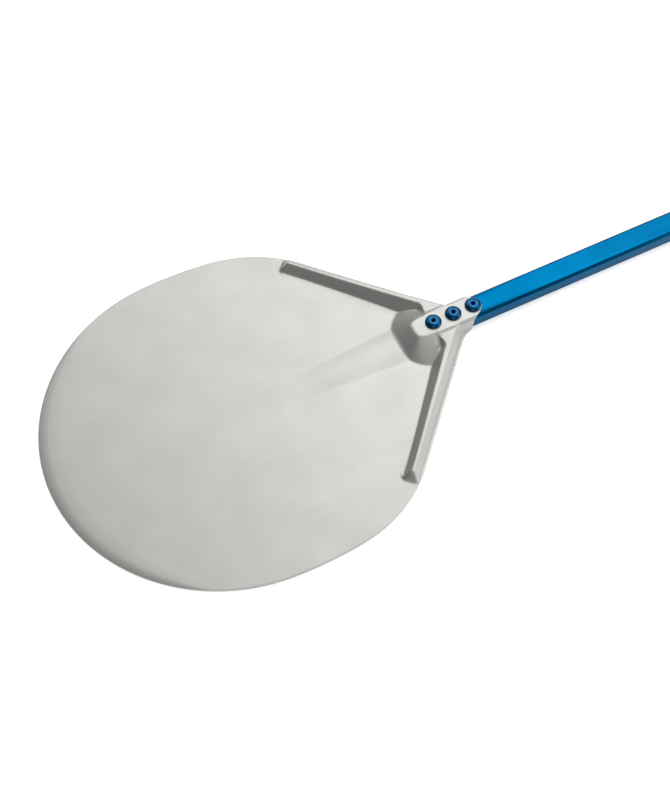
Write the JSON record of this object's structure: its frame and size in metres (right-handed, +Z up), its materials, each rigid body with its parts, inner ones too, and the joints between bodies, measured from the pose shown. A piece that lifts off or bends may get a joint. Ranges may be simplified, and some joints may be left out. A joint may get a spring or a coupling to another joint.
{
  "type": "pizza peel",
  "caption": "Round pressed metal pizza peel with a bevelled front, ribbed shoulders, a riveted tube handle and a hanging end cap.",
  "frame": {"origin": "centre of the blade's round front, on the underside of the blade, in the plane that the peel rests on", "axes": "+X along the handle away from the blade's front edge, +Y across the blade, +Z up through the blade's upper face"},
  "size_m": [1.05, 0.361, 0.0208],
  "materials": {
    "blade_sheet": "satin clear anodised sheet, faint rolling grain",
    "handle_blue": "blue anodised extruded aluminium, semi-gloss",
    "rivet_blue": "blue finished aluminium rivet, glossy",
    "stem_steel": "bare steel mandrel",
    "cap_polymer": "moulded dark blue polymer, fine matt grain"
  },
  "bodies": {
    "root": {"blade": "blade_sheet", "handle_tube": "handle_blue", "neck_rivet_1": "rivet_blue", "neck_rivet_2": "rivet_blue", "neck_rivet_3": "rivet_blue", "rivet_stem_1": "stem_steel", "rivet_stem_2": "stem_steel", "rivet_stem_3": "stem_steel", "end_cap": "cap_polymer", "cap_rivet": "rivet_blue", "cap_rivet_stem": "stem_steel"}
  },
  "joints": []
}
